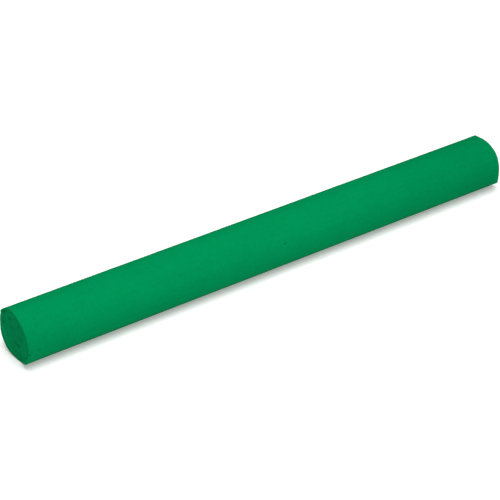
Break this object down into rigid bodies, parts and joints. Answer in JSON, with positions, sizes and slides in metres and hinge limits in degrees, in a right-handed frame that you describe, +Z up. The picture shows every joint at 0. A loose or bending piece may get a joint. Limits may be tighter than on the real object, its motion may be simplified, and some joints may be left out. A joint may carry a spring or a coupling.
{
  "type": "crayon",
  "caption": "Plain round crayon stick of solid green pigmented wax, unwrapped, with both ends cut square, lying on its side.",
  "frame": {"origin": "on the crayon's long axis, at the middle of its length", "axes": "+X along the crayon from the near end towards the far end, +Z up; lying down, it rests on a surface 6 mm below the origin"},
  "size_m": [0.12, 0.012, 0.012],
  "materials": {
    "wax": "matte, slightly mottled"
  },
  "bodies": {
    "root": {"stick": "wax"}
  },
  "joints": []
}
